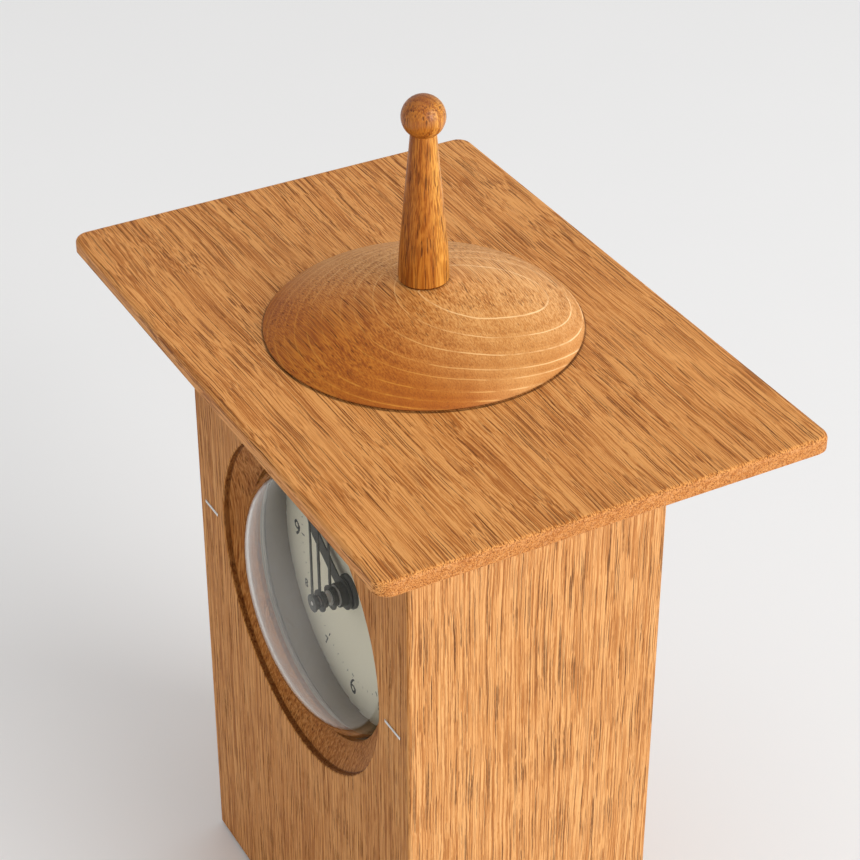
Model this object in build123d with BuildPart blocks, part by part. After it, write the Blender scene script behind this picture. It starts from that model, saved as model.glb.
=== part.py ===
from build123d import *
import os
import math

os.makedirs("parts", exist_ok=True)

# ---------------------------------------------------------------------------
# Wooden desk clock: a mitred oak case under a thin overhanging roof board with
# a turned dome and finial, and a round quartz alarm insert in the front.
# Millimetres. +Z up, front face towards -Y, origin under the roof's centre on
# the surface that the felt pads stand on.
# ---------------------------------------------------------------------------

# roof
ROOF_W = 150.0
ROOF_D = 102.4
ROOF_T = 3.8
ROOF_CORNER_R = 3.5
ROOF_EDGE_R = 1.2

# case
PAD_T = 1.0
BODY_W = 104.4
BODY_D = 61.1
BODY_H = 164.1
BODY_Y = -2.5
WALL = 9.0
BODY_EDGE_R = 0.8
Z_BOT = PAD_T
Z_TOP = PAD_T + BODY_H
ROOF_TOP = Z_TOP + ROOF_T
YF = BODY_Y - BODY_D / 2          # front face of the case
YB = BODY_Y + BODY_D / 2          # back face of the case

# window and clock axis
ZC = ROOF_TOP - 63.0              # height of the clock axis
WIN_R = 38.6                      # shallow turned recess round the insert
WIN_STEP = 1.3                    # straight wall at its rim
WIN_FLOOR = 4.5                   # depth of its sloping floor at the rim
RIM_R = 32.4                      # rim of wood round the crystal
Q_SEAT = 6.0                      # rebate behind the rim, that the insert goes into from the back
BORE_R = 35.5

# access opening in the back
ACC_W = 72.0
ACC_H = 92.0
ACC_Z = ZC - 4.5
ACC_R = 6.0

# inlay bars beside the window
BAR_X0 = 41.9
BAR_X1 = 48.6
BAR_T = 0.75
BAR_Z = -0.9                      # they sit a little under the clock axis
BAR_PROUD = 0.3

# dome and finial
FIN_X = -1.7                      # the turned top stands a little left of centre
DOME_R = 34.3
DOME_APEX = 11.9                  # height that the crown's curve runs up to
DOME_P, DOME_Q = 1.485, 1.489     # exponents of the crown's curve
POST_R0 = 5.5
POST_R1 = 2.76
POST_TOP = ROOF_TOP + 45.4
BALL_R = 4.66
BALL_Z = ROOF_TOP + 49.1
DOWEL_R = 3.0
PIN_R = 1.0

# insert, radii
LIP_R = 33.0
SLEEVE_R = 35.2
SLEEVE_BORE = 34.2
LAP_R = 34.7
DIAL_R = 34.2
# insert, depths behind the front face
Q_LENS0, Q_LENS1 = 6.4, 7.0       # the crystal's flange
Q_GASK1 = 7.2
Q_UP1 = 7.75
Q_LOW0 = 8.0
Q_DIAL0, Q_DIAL1 = 13.1, 14.1
Q_CAN1 = 16.3
Q_WASH1 = 17.5

# shaft stack, radii
R_PIN = 0.5
R_MIN_IN, R_MIN_OUT = 0.55, 1.1
R_ALM_IN, R_ALM_OUT = 1.15, 1.75
R_HR_IN, R_HR_OUT = 1.8, 2.5
R_BUSH_IN, R_BUSH_OUT = 2.55, 3.5
NUT_R = 4.2

# movement
MV = 56.0
Q_MV0 = Q_WASH1
Q_MV1 = 34.8
Q_BACK1 = 36.3
MV_WALL = 1.5
ARBOR_R = 1.2
ARBOR_HOLE_R = 1.25

# motion work: cannon pinion and minute wheel, minute pinion and hour wheel
T_CANNON, T_MINUTE, M_MINUTE = 12, 36, 0.5
T_MPIN, T_HOUR, M_HOUR = 10, 40, 0.48
A_MINUTE = (T_CANNON + T_MINUTE) * M_MINUTE / 2
ANG_MINUTE = 45.0
# alarm wheel and setting pinion
T_ALARM, T_APIN, M_ALARM = 32, 12, 0.5
A_ALARM = (T_ALARM + T_APIN) * M_ALARM / 2
ANG_ALARM = 115.0
# seconds train: second wheel, third pinion and wheel, rotor pinion
T_SECOND, T_TPIN, M_TRAIN = 60, 10, 0.3
T_THIRD, T_RPIN = 45, 9
A_THIRD = (T_SECOND + T_TPIN) * M_TRAIN / 2
ANG_THIRD = 170.0
A_ROTOR = (T_THIRD + T_RPIN) * M_TRAIN / 2
ANG_ROTOR = 123.8


def polar(r, deg):
    return (r * math.cos(math.radians(deg)), r * math.sin(math.radians(deg)))


MIN_X, MIN_Z = polar(A_MINUTE, ANG_MINUTE)
ALM_X, ALM_Z = polar(A_ALARM, ANG_ALARM)
THI_X, THI_Z = polar(A_THIRD, ANG_THIRD)
ROT_DX, ROT_DZ = polar(A_ROTOR, ANG_ROTOR)
ROT_X, ROT_Z = THI_X + ROT_DX, THI_Z + ROT_DZ


def dep(q):
    """Upright plane at depth q behind the front face; local x is X, local y
    is the height above the clock axis, and its normal points to the front."""
    return Plane(origin=(0, YF + q, ZC), x_dir=(1, 0, 0), z_dir=(0, -1, 0))


AXP = Plane(origin=(0, YF, ZC), x_dir=(1, 0, 0), z_dir=(0, 0, 1))   # local x radius, local y depth
AX = Axis((0, YF, ZC), (0, 1, 0))


def gear_pts(teeth, module, tooth_at, cx=0.0, cz=0.0, add=0.85, ded=1.15):
    """Outline of a spur gear with slim straight-flanked teeth that leave
    backlash. One tooth is centred on the angle tooth_at (degrees)."""
    rp = teeth * module / 2
    ro, rr = rp + add * module, rp - ded * module
    pitch = 360.0 / teeth
    pts = []
    for i in range(teeth):
        c = tooth_at + i * pitch
        for r, half in ((rr, 0.29), (rp, 0.205), (ro, 0.10), (ro, -0.10), (rp, -0.205), (rr, -0.29)):
            x, z = polar(r, c - half * pitch)
            pts.append((cx + x, cz + z))
    return pts


# ------------------------------------------------------------------ the case
# the mitre tips are rounded over together after glueing: all four boards
# are cut to the same rounded outline as the finished case
with BuildPart() as outline:
    with BuildSketch(Plane.XY.offset(Z_BOT)):
        with Locations((0, BODY_Y)):
            RectangleRounded(BODY_W, BODY_D, BODY_EDGE_R)
    extrude(amount=BODY_H)

# front board: mitred to the sides at 45 degrees, with the window bored through
with BuildPart() as front_panel:
    with BuildSketch(Plane.XY.offset(Z_BOT)):
        with BuildLine():
            Polyline((-BODY_W / 2, YF), (BODY_W / 2, YF), (BODY_W / 2 - WALL, YF + WALL),
                     (-BODY_W / 2 + WALL, YF + WALL), close=True)
        make_face()
    extrude(amount=BODY_H)
    add(outline.part, mode=Mode.INTERSECT)
    with BuildSketch(AXP):
        with BuildLine():
            Polyline((0, -1.0), (WIN_R, -1.0), (WIN_R, WIN_STEP), (RIM_R, WIN_FLOOR), (RIM_R, Q_SEAT), (BORE_R, Q_SEAT),
                     (BORE_R, WALL + 1.0), (0, WALL + 1.0), close=True)
        make_face()
    revolve(axis=AX, mode=Mode.SUBTRACT)
    win_edge = [e for e in front_panel.edges().filter_by(GeomType.CIRCLE)
                if abs(e.radius - WIN_R) < 0.01 and abs(e.center().Y - YF) < 0.01]
    fillet(win_edge, 0.5)
    with BuildSketch(dep(0)):
        with Locations(((BAR_X0 + BAR_X1) / 2, BAR_Z), (-(BAR_X0 + BAR_X1) / 2, BAR_Z)):
            Rectangle(BAR_X1 - BAR_X0, BAR_T)
    extrude(amount=-2.0, mode=Mode.SUBTRACT)
front_panel.part.label = "front_panel"
export_step(front_panel.part, "parts/front_panel.step")

with BuildPart() as left_side:
    with BuildSketch(Plane.XY.offset(Z_BOT)):
        with BuildLine():
            Polyline((-BODY_W / 2, YF), (-BODY_W / 2 + WALL, YF + WALL),
                     (-BODY_W / 2 + WALL, YB - WALL), (-BODY_W / 2, YB), close=True)
        make_face()
    extrude(amount=BODY_H)
left_side.part.label = "left_side"

with BuildPart() as right_side:
    with BuildSketch(Plane.XY.offset(Z_BOT)):
        with BuildLine():
            Polyline((BODY_W / 2, YF), (BODY_W / 2 - WALL, YF + WALL),
                     (BODY_W / 2 - WALL, YB - WALL), (BODY_W / 2, YB), close=True)
        make_face()
    extrude(amount=BODY_H)
right_side.part.label = "right_side"

with BuildPart() as left_cut:
    add(left_side.part)
    add(outline.part, mode=Mode.INTERSECT)
left_cut.part.label = "left_side"
export_step(left_cut.part, "parts/left_side.step")

with BuildPart() as right_cut:
    add(right_side.part)
    add(outline.part, mode=Mode.INTERSECT)
right_cut.part.label = "right_side"
export_step(right_cut.part, "parts/right_side.step")

# back board with the access opening for battery, knobs and switch
with BuildPart() as back_panel:
    with BuildSketch(Plane.XY.offset(Z_BOT)):
        with BuildLine():
            Polyline((-BODY_W / 2, YB), (BODY_W / 2, YB), (BODY_W / 2 - WALL, YB - WALL),
                     (-BODY_W / 2 + WALL, YB - WALL), close=True)
        make_face()
    extrude(amount=BODY_H)
    add(outline.part, mode=Mode.INTERSECT)
    with BuildSketch(dep(BODY_D)):
        with Locations((0, ACC_Z - ZC)):
            RectangleRounded(ACC_W, ACC_H, ACC_R)
    extrude(amount=WALL, mode=Mode.SUBTRACT)
    rim = [e for e in back_panel.edges() if abs(e.center().Y - YB) < 0.01
           and abs(e.center().X) <= ACC_W / 2 + 0.1 and abs(e.center().Z - ACC_Z) <= ACC_H / 2 + 0.1]
    chamfer(rim, 1.0)
back_panel.part.label = "back_panel"
export_step(back_panel.part, "parts/back_panel.step")

# base board let in between the four walls, flush with their lower edges
with BuildPart() as bottom_board:
    with BuildSketch(Plane.XY.offset(Z_BOT)):
        with Locations((0, BODY_Y)):
            Rectangle(BODY_W - 2 * WALL, BODY_D - 2 * WALL)
    extrude(amount=8.0)
bottom_board.part.label = "bottom_board"
export_step(bottom_board.part, "parts/bottom_board.step")

# triangular glue blocks in the four upper corners, flush with the case's top
GB = 13.0
IX = BODY_W / 2 - WALL
IY0, IY1 = YF + WALL, YB - WALL
with BuildPart() as corner_blocks:
    for sx, yy, sy in ((-1, IY0, 1), (1, IY0, 1), (-1, IY1, -1), (1, IY1, -1)):
        with BuildSketch(Plane.XY.offset(Z_TOP)):
            with BuildLine():
                Polyline((sx * IX, yy), (sx * (IX - GB), yy), (sx * IX, yy + sy * GB), close=True)
            make_face()
        extrude(amount=-20.0)
corner_blocks.part.label = "corner_blocks"
export_step(corner_blocks.part, "parts/corner_blocks.step")

# thin roof board, eased all round, drilled for the finial's dowel
with BuildPart() as roof_board:
    with BuildSketch(Plane.XY.offset(Z_TOP)):
        RectangleRounded(ROOF_W, ROOF_D, ROOF_CORNER_R)
    extrude(amount=ROOF_T)
    fillet(roof_board.faces().sort_by(Axis.Z)[-1].edges(), ROOF_EDGE_R)
    chamfer(roof_board.faces().sort_by(Axis.Z)[0].edges(), 0.5)
    with BuildSketch(Plane.XY.offset(Z_TOP)):
        with Locations((FIN_X, 0)):
            Circle(DOWEL_R)
    extrude(amount=ROOF_T, mode=Mode.SUBTRACT)
roof_board.part.label = "roof_board"
export_step(roof_board.part, "parts/roof_board.step")

# turned dome: eased foot, rounded rim, shallow crown with a flat land for the post
FIN = Plane(origin=(FIN_X, 0, ROOF_TOP), x_dir=(1, 0, 0), z_dir=(0, -1, 0))   # local x radius, local y height
FIN_AX = Axis((FIN_X, 0, 0), (0, 0, 1))


def crown(r):
    return DOME_APEX * (1 - (r / DOME_R) ** DOME_P) ** (1 / DOME_Q)


LAND_R = POST_R0 + 0.15
DOME_H = crown(LAND_R)
with BuildPart() as dome:
    with BuildSketch(FIN):
        with BuildLine():
            Polyline((LAND_R, DOME_H), (DOWEL_R, DOME_H), (DOWEL_R, 0), (DOME_R - 0.5, 0), (DOME_R - 0.02, 0.45))
            Spline((DOME_R - 0.02, 0.45), *[(r, crown(r)) for r in (33.4, 32.2, 30.2, 27.2, 23.5, 19.5, 15.0, 10.5)],
                   (LAND_R, DOME_H))
        make_face()
    revolve(axis=FIN_AX)
dome.part.label = "dome"
export_step(dome.part, "parts/dome.step")

# tapered post, drilled from below for the dowel and from above for the pin
POST_L = POST_TOP - ROOF_TOP
with BuildPart() as finial_post:
    with BuildSketch(FIN):
        with BuildLine():
            Polyline((0, DOME_H + 14.0), (DOWEL_R, DOME_H + 14.0), (DOWEL_R, DOME_H), (POST_R0 - 0.45, DOME_H),
                     (POST_R0 - 0.05, DOME_H + 0.6))
            Spline((POST_R0 - 0.05, DOME_H + 0.6), (POST_R0 - 0.12, DOME_H + 3.5), (POST_R0 - 0.75, DOME_H + 12.0),
                   (POST_R0 - 1.75, DOME_H + 23.0), (POST_R1, POST_L))
            Polyline((POST_R1, POST_L), (PIN_R, POST_L), (PIN_R, POST_L - 6.0), (0, POST_L - 6.0), (0, DOME_H + 14.0))
        make_face()
    revolve(axis=FIN_AX)
finial_post.part.label = "finial_post"
export_step(finial_post.part, "parts/finial_post.step")

BALL_H = BALL_Z - ROOF_TOP
FLAT_R = math.sqrt(BALL_R ** 2 - (BALL_H - POST_L) ** 2)
with BuildPart() as finial_ball:
    with BuildSketch(FIN):
        with BuildLine():
            Polyline((0, BALL_H + BALL_R), (0, BALL_H + 1.0), (PIN_R, BALL_H + 1.0), (PIN_R, POST_L), (FLAT_R, POST_L))
            ThreePointArc((FLAT_R, POST_L), (BALL_R, BALL_H), (0, BALL_H + BALL_R))
        make_face()
    revolve(axis=FIN_AX)
finial_ball.part.label = "finial_ball"
export_step(finial_ball.part, "parts/finial_ball.step")

with BuildPart() as finial_dowel:
    with BuildSketch(Plane.XY.offset(Z_TOP)):
        with Locations((FIN_X, 0)):
            Circle(DOWEL_R)
    extrude(amount=ROOF_T + DOME_H + 14.0)
finial_dowel.part.label = "finial_dowel"
export_step(finial_dowel.part, "parts/finial_dowel.step")

with BuildPart() as ball_pin:
    with BuildSketch(Plane.XY.offset(POST_TOP - 6.0)):
        with Locations((FIN_X, 0)):
            Circle(PIN_R)
    extrude(amount=BALL_Z + 1.0 - (POST_TOP - 6.0))
ball_pin.part.label = "ball_pin"
export_step(ball_pin.part, "parts/ball_pin.step")

# two silver bars let into the front at nine and three o'clock
with BuildPart() as inlay_bars:
    with BuildSketch(dep(2.0)):
        with Locations(((BAR_X0 + BAR_X1) / 2, BAR_Z), (-(BAR_X0 + BAR_X1) / 2, BAR_Z)):
            Rectangle(BAR_X1 - BAR_X0, BAR_T)
    extrude(amount=2.0 + BAR_PROUD)
    fillet(inlay_bars.faces().group_by(Axis.Y)[0].edges(), 0.22)
inlay_bars.part.label = "inlay_bars"
export_step(inlay_bars.part, "parts/inlay_bars.step")

# four felt pads under the base
with BuildPart() as felt_pads:
    with BuildSketch(Plane.XY):
        with Locations((0, BODY_Y)):
            with GridLocations(66, 30, 2, 2):
                Circle(6.0)
    extrude(amount=PAD_T)
felt_pads.part.label = "felt_pads"
export_step(felt_pads.part, "parts/felt_pads.step")

# --------------------------------------------------------------- the insert
# bezel: lip that holds the crystal's flange, sleeve with a lap joint
with BuildPart() as bezel_ring:
    with BuildSketch(AXP):
        with BuildLine():
            Polyline((SLEEVE_R, Q_SEAT + 0.2), (SLEEVE_R - 0.2, Q_SEAT), (LIP_R, Q_SEAT), (LIP_R, Q_LENS0), (SLEEVE_BORE, Q_LENS0),
                     (SLEEVE_BORE, 9.0), (LAP_R, 9.0), (LAP_R, 12.0), (SLEEVE_R, 12.0), close=True)
        make_face()
    revolve(axis=AX)
bezel_ring.part.label = "bezel_ring"
export_step(bezel_ring.part, "parts/bezel_ring.step")

# domed crystal: a thin blown shell with a flange at its foot
CRY_R, CRY_Q, CRY_H, CRY_T = 33.44, 11.89, 15.86, 1.0


def shell(cut, off):
    """Profile points of the crystal's outer (off = 0) or inner face, from its apex down to depth cut."""
    big_r, high = CRY_R - off, CRY_H - off
    last = math.acos((CRY_Q - cut) / high)
    pts = []
    for k in range(1, 13):
        a = last * (k / 12.0) ** 1.6
        pts.append((big_r * math.sin(a) ** 0.5, CRY_Q - high * math.cos(a)))
    end = (big_r * 0.5 * math.sin(last) ** -0.5 * math.cos(last), high * math.sin(last))
    return (0, CRY_Q - high), pts, end


with BuildPart() as lens:
    with BuildSketch(AXP):
        with BuildLine():
            top_o, pts_o, end_o = shell(Q_LENS0, 0.0)
            top_i, pts_i, end_i = shell(Q_LENS1, CRY_T)
            Spline(top_o, *pts_o, tangents=((1, 0), end_o))
            Polyline(pts_o[-1], (SLEEVE_BORE, Q_LENS0), (SLEEVE_BORE, Q_LENS1), pts_i[-1])
            Spline(top_i, *pts_i, tangents=((1, 0), end_i))
            Line(top_i, top_o)
        make_face()
    revolve(axis=AX)
lens.part.label = "lens"
export_step(lens.part, "parts/lens.step")

with BuildPart() as lens_gasket:
    with BuildSketch(dep(Q_GASK1)):
        Circle(SLEEVE_BORE)
        Circle(33.5, mode=Mode.SUBTRACT)
    extrude(amount=Q_GASK1 - Q_LENS1)
lens_gasket.part.label = "lens_gasket"
export_step(lens_gasket.part, "parts/lens_gasket.step")

# two trim rings between glass and dial, with a fine step between them
with BuildPart() as upper_ring:
    with BuildSketch(AXP):
        with BuildLine():
            Polyline((33.2, Q_GASK1), (SLEEVE_BORE, Q_GASK1), (SLEEVE_BORE, Q_LOW0), (33.6, Q_LOW0),
                     (33.6, Q_UP1), (32.9, Q_UP1), close=True)
        make_face()
    revolve(axis=AX)
upper_ring.part.label = "upper_ring"
export_step(upper_ring.part, "parts/upper_ring.step")

with BuildPart() as lower_ring:
    with BuildSketch(AXP):
        with BuildLine():
            Polyline((33.0, Q_LOW0), (SLEEVE_BORE, Q_LOW0), (SLEEVE_BORE, Q_DIAL0), (32.95, Q_DIAL0), (32.95, 12.65),
                     (32.8, 12.65), close=True)
        make_face()
    revolve(axis=AX)
lower_ring.part.label = "lower_ring"
export_step(lower_ring.part, "parts/lower_ring.step")

# rubber band round the sleeve that grips the bore in the wood
with BuildPart() as insert_gasket:
    with BuildSketch(dep(8.7)):
        Circle(BORE_R)
        Circle(SLEEVE_R, mode=Mode.SUBTRACT)
    extrude(amount=2.3)
insert_gasket.part.label = "insert_gasket"
export_step(insert_gasket.part, "parts/insert_gasket.step")

with BuildPart() as housing_can:
    with BuildSketch(AXP):
        with BuildLine():
            Polyline((SLEEVE_BORE, 9.0), (LAP_R, 9.0), (LAP_R, 12.0), (SLEEVE_R, 12.0), (SLEEVE_R, Q_CAN1),
                     (R_BUSH_OUT, Q_CAN1), (R_BUSH_OUT, Q_DIAL1), (SLEEVE_BORE, Q_DIAL1), close=True)
        make_face()
    revolve(axis=AX)
housing_can.part.label = "housing_can"
export_step(housing_can.part, "parts/housing_can.step")

with BuildPart() as dial_plate:
    with BuildSketch(dep(Q_DIAL1)):
        Circle(DIAL_R)
        Circle(R_BUSH_OUT, mode=Mode.SUBTRACT)
    extrude(amount=Q_DIAL1 - Q_DIAL0)
dial_plate.part.label = "dial_plate"
export_step(dial_plate.part, "parts/dial_plate.step")

# rubber washer between the housing and the movement
with BuildPart() as movement_washer:
    with BuildSketch(dep(Q_WASH1)):
        Circle(13.0)
        Circle(R_BUSH_OUT, mode=Mode.SUBTRACT)
    extrude(amount=Q_WASH1 - Q_CAN1)
movement_washer.part.label = "movement_washer"
export_step(movement_washer.part, "parts/movement_washer.step")

with BuildPart() as hub_nut:
    with BuildSketch(AXP):
        with BuildLine():
            Polyline((R_BUSH_OUT, 12.1), (NUT_R - 0.4, 12.1), (NUT_R, 12.5), (NUT_R, Q_DIAL0), (R_BUSH_OUT, Q_DIAL0),
                     close=True)
        make_face()
    revolve(axis=AX)
hub_nut.part.label = "hub_nut"
export_step(hub_nut.part, "parts/hub_nut.step")

# ---------------------------------------------------------------- the hands
# second hand: slim needle, straight up
with BuildPart() as second_hand:
    with BuildSketch(dep(4.05)):
        with BuildLine():
            Polyline((-0.38, 0), (0.38, 0), (0.25, 25.5), (-0.25, 25.5), close=True)
        make_face()
        Circle(2.1)
        Circle(R_PIN, mode=Mode.SUBTRACT)
    extrude(amount=0.3)
    with BuildSketch(dep(4.95)):
        Circle(1.7)
        Circle(R_PIN, mode=Mode.SUBTRACT)
    extrude(amount=0.9)
second_hand.part.label = "second_hand"
export_step(second_hand.part, "parts/second_hand.step")

# minute hand: thin bar with a round boss, straight up
with BuildPart() as minute_hand:
    with BuildSketch(dep(5.75)):
        with BuildLine():
            Polyline((-0.5, 0), (0.5, 0), (0.4, 24.5), (-0.4, 24.5), close=True)
        make_face()
        Circle(2.6)
        Circle(R_MIN_OUT, mode=Mode.SUBTRACT)
    extrude(amount=0.3)
    with BuildSketch(dep(6.75)):
        Circle(1.9)
        Circle(R_MIN_OUT, mode=Mode.SUBTRACT)
    extrude(amount=1.0)
minute_hand.part.label = "minute_hand"
export_step(minute_hand.part, "parts/minute_hand.step")

# alarm hand: shorter thin bar, straight up
with BuildPart() as alarm_hand:
    with BuildSketch(dep(8.25)):
        with BuildLine():
            Polyline((-0.5, 0), (0.5, 0), (0.35, 17.0), (-0.35, 17.0), close=True)
        make_face()
        Circle(2.9)
        Circle(R_ALM_OUT, mode=Mode.SUBTRACT)
    extrude(amount=0.3)
    with BuildSketch(dep(9.25)):
        Circle(2.25)
        Circle(R_ALM_OUT, mode=Mode.SUBTRACT)
    extrude(amount=1.0)
alarm_hand.part.label = "alarm_hand"
export_step(alarm_hand.part, "parts/alarm_hand.step")

# hour hand: broad bar at ten o'clock
HA = 150.0
hx, hz = polar(1.0, HA)
nx, nz = -hz, hx
with BuildPart() as hour_hand:
    with BuildSketch(dep(11.6)):
        with BuildLine():
            Polyline((1.75 * nx, 1.75 * nz), (2.05 * nx + 16.0 * hx, 2.05 * nz + 16.0 * hz),
                     (0.5 * nx + 20.0 * hx, 0.5 * nz + 20.0 * hz), (-0.5 * nx + 20.0 * hx, -0.5 * nz + 20.0 * hz),
                     (-2.05 * nx + 16.0 * hx, -2.05 * nz + 16.0 * hz), (-1.75 * nx, -1.75 * nz), close=True)
        make_face()
        Circle(3.9)
        Circle(R_HR_OUT, mode=Mode.SUBTRACT)
    extrude(amount=0.4)
    with BuildSketch(dep(11.2)):
        Circle(2.85)
        Circle(R_HR_OUT, mode=Mode.SUBTRACT)
    extrude(amount=1.6)
hour_hand.part.label = "hour_hand"
export_step(hour_hand.part, "parts/hour_hand.step")

# ------------------------------------------------------------- the movement
BOSS = ((25.0, 24.8), (-25.0, 24.8), (25.0, -7.6), (-25.0, -7.6))
BAT_Z = -18.9
BAT_Q = 26.7
BAT_R = 7.1

# moulded tub with the threaded centre bush, battery wall and screw bosses
with BuildPart() as movement_case:
    with BuildSketch(dep(Q_MV0)):
        RectangleRounded(MV, MV, 2.5)
    extrude(amount=-(Q_MV1 - Q_MV0))
    with BuildSketch(dep(Q_MV0 + MV_WALL)):
        RectangleRounded(MV - 2 * MV_WALL, MV - 2 * MV_WALL, 1.5)
    extrude(amount=-(Q_MV1 - Q_MV0 - MV_WALL), mode=Mode.SUBTRACT)
    with BuildSketch(dep(Q_MV0 + MV_WALL)):
        with Locations((0, -10.95)):
            Rectangle(MV - 2 * MV_WALL, 1.2)
    extrude(amount=-(Q_MV1 - Q_MV0 - MV_WALL))
    with BuildSketch(dep(Q_MV0 + MV_WALL)):
        with Locations(*BOSS):
            Circle(1.7)
    extrude(amount=-(Q_MV1 - Q_MV0 - MV_WALL))
    with BuildSketch(dep(Q_MV1)):
        with Locations(*BOSS):
            Circle(0.7)
    extrude(amount=6.0, mode=Mode.SUBTRACT)
    with BuildSketch(dep(Q_MV0)):
        Circle(R_BUSH_OUT)
    extrude(amount=Q_MV0 - 11.9)
    with BuildSketch(dep(Q_MV0 + MV_WALL)):
        Circle(R_BUSH_IN)
    extrude(amount=Q_MV0 + MV_WALL - 11.9, mode=Mode.SUBTRACT)
movement_case.part.label = "movement_case"
export_step(movement_case.part, "parts/movement_case.step")

# back plate with arbor holes, switch slot and battery opening
SW_X, SW_Z = 16.0, 19.5
SW_TRAVEL = 3.0
with BuildPart() as movement_back:
    with BuildSketch(dep(Q_BACK1)):
        RectangleRounded(MV, MV, 2.5)
        with Locations((MIN_X, MIN_Z), (ALM_X, ALM_Z)):
            Circle(ARBOR_HOLE_R, mode=Mode.SUBTRACT)
        with Locations((SW_X + SW_TRAVEL / 2, SW_Z)):
            Rectangle(4.0 + SW_TRAVEL + 0.6, 3.6, mode=Mode.SUBTRACT)
        with Locations((0, BAT_Z)):
            Rectangle(51.2, 14.8, mode=Mode.SUBTRACT)
        with Locations(*BOSS):
            Circle(0.7, mode=Mode.SUBTRACT)
    extrude(amount=Q_BACK1 - Q_MV1)
movement_back.part.label = "movement_back"
export_step(movement_back.part, "parts/movement_back.step")

with BuildPart() as movement_screws:
    with BuildSketch(dep(Q_BACK1)):
        with Locations(*BOSS):
            Circle(0.7)
    extrude(amount=6.0)
    with BuildSketch(dep(Q_BACK1)):
        with Locations(*BOSS):
            Circle(1.5)
    extrude(amount=-0.9)
    with BuildSketch(dep(Q_BACK1 + 0.9)):
        with Locations(*BOSS):
            Rectangle(2.0, 0.45)
            Rectangle(0.45, 2.0)
    extrude(amount=0.5, mode=Mode.SUBTRACT)
movement_screws.part.label = "movement_screws"
export_step(movement_screws.part, "parts/movement_screws.step")

# second wheel and its long pin
with BuildPart() as second_wheel:
    with BuildSketch(dep(28.2)):
        with BuildLine():
            Polyline(gear_pts(T_SECOND, M_TRAIN, ANG_THIRD), close=True)
        make_face()
    extrude(amount=1.2)
    with BuildSketch(dep(34.5)):
        Circle(R_PIN)
    extrude(amount=34.5 - 3.7)
second_wheel.part.label = "second_wheel"
export_step(second_wheel.part, "parts/second_wheel.step")

# minute arbor: hollow shaft with the cannon pinion
with BuildPart() as minute_arbor:
    with BuildSketch(dep(26.0)):
        with BuildLine():
            Polyline(gear_pts(T_CANNON, M_MINUTE, ANG_MINUTE), close=True)
        make_face()
    extrude(amount=1.8)
    with BuildSketch(dep(26.4)):
        Circle(R_MIN_OUT)
    extrude(amount=26.4 - 5.2)
    with BuildSketch(dep(26.4)):
        Circle(R_MIN_IN)
    extrude(amount=26.4 - 5.2, mode=Mode.SUBTRACT)
minute_arbor.part.label = "minute_arbor"
export_step(minute_arbor.part, "parts/minute_arbor.step")

# hour wheel and tube
with BuildPart() as hour_wheel:
    with BuildSketch(dep(21.0)):
        with BuildLine():
            Polyline(gear_pts(T_HOUR, M_HOUR, ANG_MINUTE), close=True)
        make_face()
    extrude(amount=1.4)
    with BuildSketch(dep(21.0)):
        Circle(R_HR_OUT)
    extrude(amount=21.0 - 9.5)
    with BuildSketch(dep(21.0)):
        Circle(R_HR_IN)
    extrude(amount=21.0 - 9.5, mode=Mode.SUBTRACT)
hour_wheel.part.label = "hour_wheel"
export_step(hour_wheel.part, "parts/hour_wheel.step")

# alarm wheel and tube
with BuildPart() as alarm_wheel:
    with BuildSketch(dep(23.2)):
        with BuildLine():
            Polyline(gear_pts(T_ALARM, M_ALARM, ANG_ALARM), close=True)
        make_face()
    extrude(amount=1.4)
    with BuildSketch(dep(23.2)):
        Circle(R_ALM_OUT)
    extrude(amount=23.2 - 7.65)
    with BuildSketch(dep(23.2)):
        Circle(R_ALM_IN)
    extrude(amount=23.2 - 7.65, mode=Mode.SUBTRACT)
alarm_wheel.part.label = "alarm_wheel"
export_step(alarm_wheel.part, "parts/alarm_wheel.step")

# minute wheel: wheel, pinion and the arbor that carries the setting knob
half_m = 180.0 / T_MINUTE
half_p = 180.0 / T_MPIN
with BuildPart() as minute_wheel:
    with BuildSketch(dep(26.0)):
        with BuildLine():
            Polyline(gear_pts(T_MINUTE, M_MINUTE, ANG_MINUTE + 180 + half_m, MIN_X, MIN_Z), close=True)
        make_face()
    extrude(amount=1.8)
    with BuildSketch(dep(21.2)):
        with BuildLine():
            Polyline(gear_pts(T_MPIN, M_HOUR, ANG_MINUTE + 180 + half_p, MIN_X, MIN_Z), close=True)
        make_face()
    extrude(amount=1.8)
    with BuildSketch(dep(41.0)):
        with Locations((MIN_X, MIN_Z)):
            Circle(ARBOR_R)
    extrude(amount=41.0 - 19.3)
minute_wheel.part.label = "minute_wheel"
export_step(minute_wheel.part, "parts/minute_wheel.step")

# alarm setting pinion and arbor
half_a = 180.0 / T_APIN
with BuildPart() as alarm_pinion:
    with BuildSketch(dep(23.3)):
        with BuildLine():
            Polyline(gear_pts(T_APIN, M_ALARM, ANG_ALARM + 180 + half_a, ALM_X, ALM_Z), close=True)
        make_face()
    extrude(amount=1.6)
    with BuildSketch(dep(41.0)):
        with Locations((ALM_X, ALM_Z)):
            Circle(ARBOR_R)
    extrude(amount=41.0 - 21.4)
alarm_pinion.part.label = "alarm_pinion"
export_step(alarm_pinion.part, "parts/alarm_pinion.step")

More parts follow.
